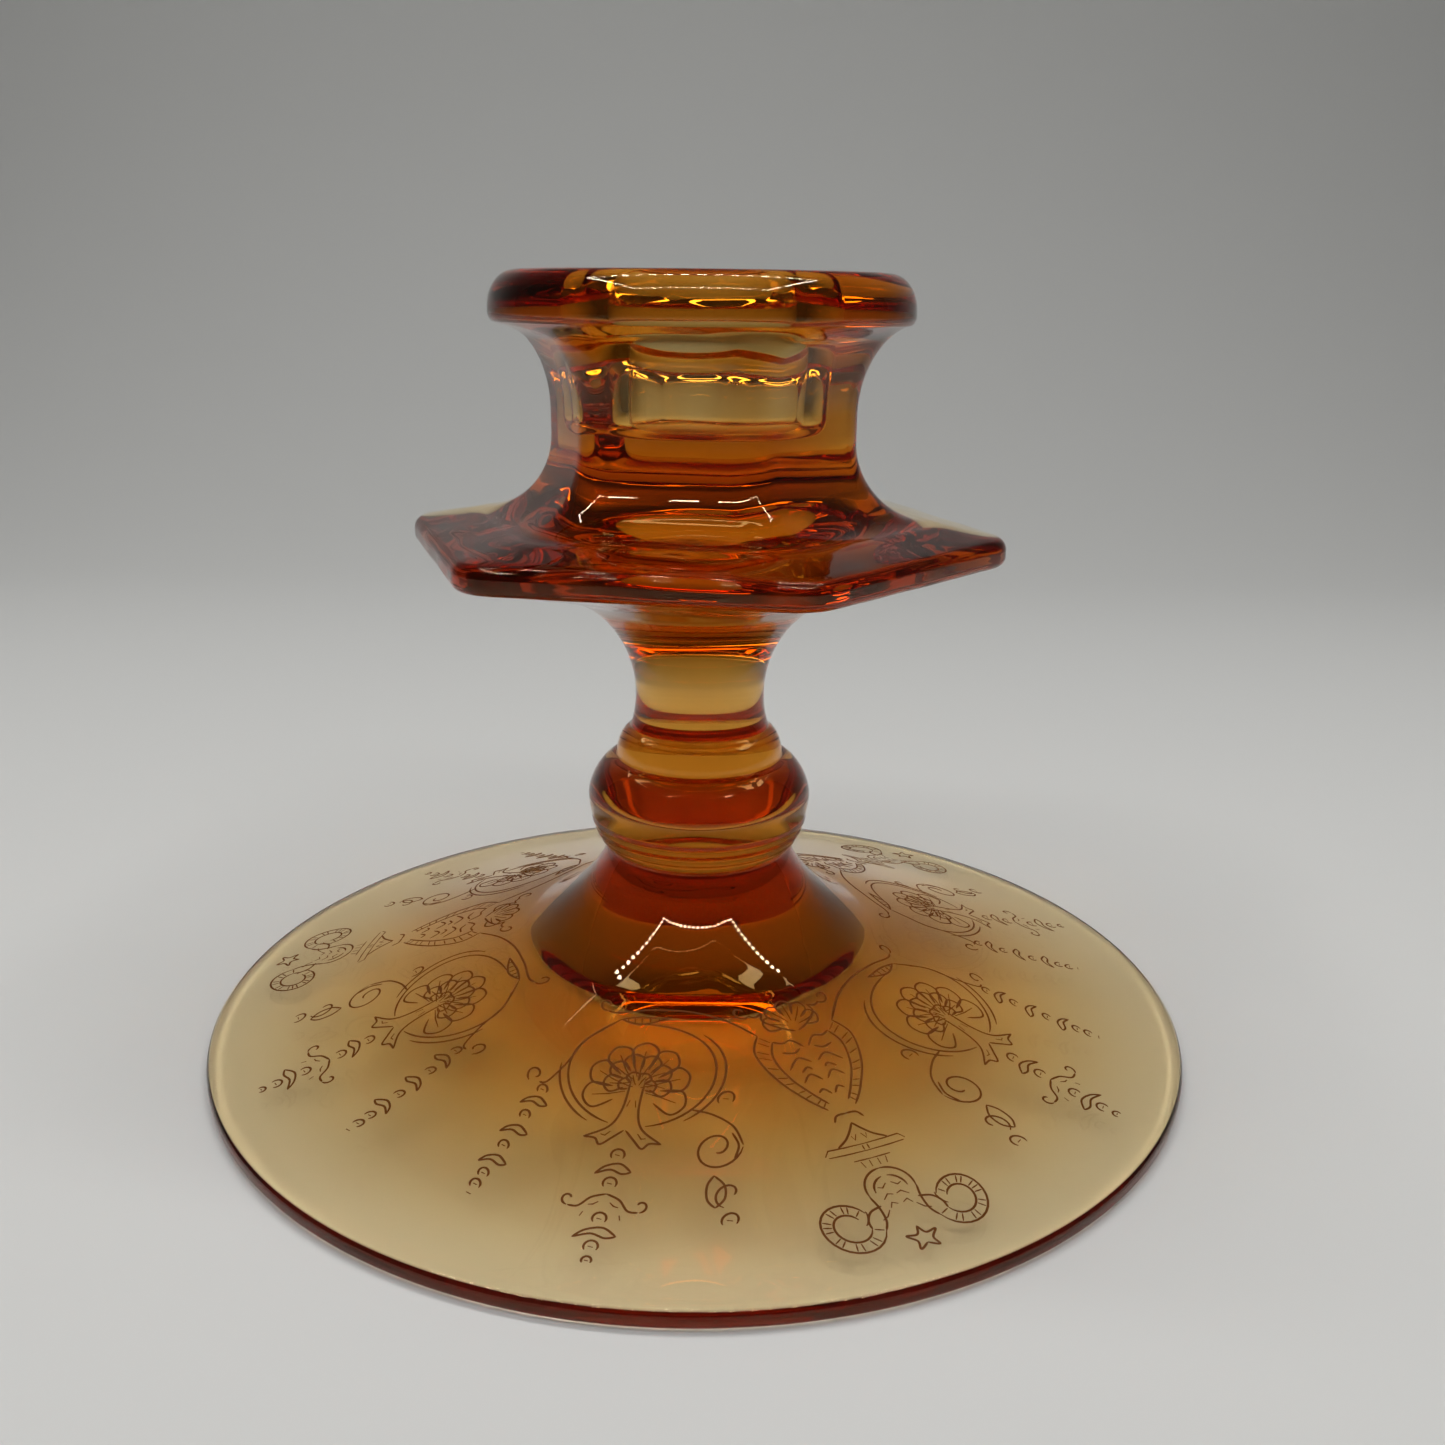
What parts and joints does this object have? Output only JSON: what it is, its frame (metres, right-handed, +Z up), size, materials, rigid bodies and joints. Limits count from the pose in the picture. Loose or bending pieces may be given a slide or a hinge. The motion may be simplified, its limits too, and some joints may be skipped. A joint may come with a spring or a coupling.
{
  "type": "glass candlestick",
  "caption": "Low amber pressed-glass candlestick: round dished foot, ringed knop, waisted stem, six-sided drip pan and socket with a round rim.",
  "frame": {"origin": "centre of the ring that rests on the table, at table height", "axes": "+Z up along the stem and the candle hole; +X through a corner of the six-sided drip pan"},
  "size_m": [0.127, 0.127, 0.0958],
  "materials": {
    "amber_glass": "clear polished pressed glass, amber throughout"
  },
  "bodies": {
    "root": {"foot": "amber_glass", "bell": "amber_glass", "knop": "amber_glass", "stem_collar": "amber_glass", "stem": "amber_glass", "drip_pan": "amber_glass", "candle_socket": "amber_glass", "socket_rim": "amber_glass"}
  },
  "joints": []
}
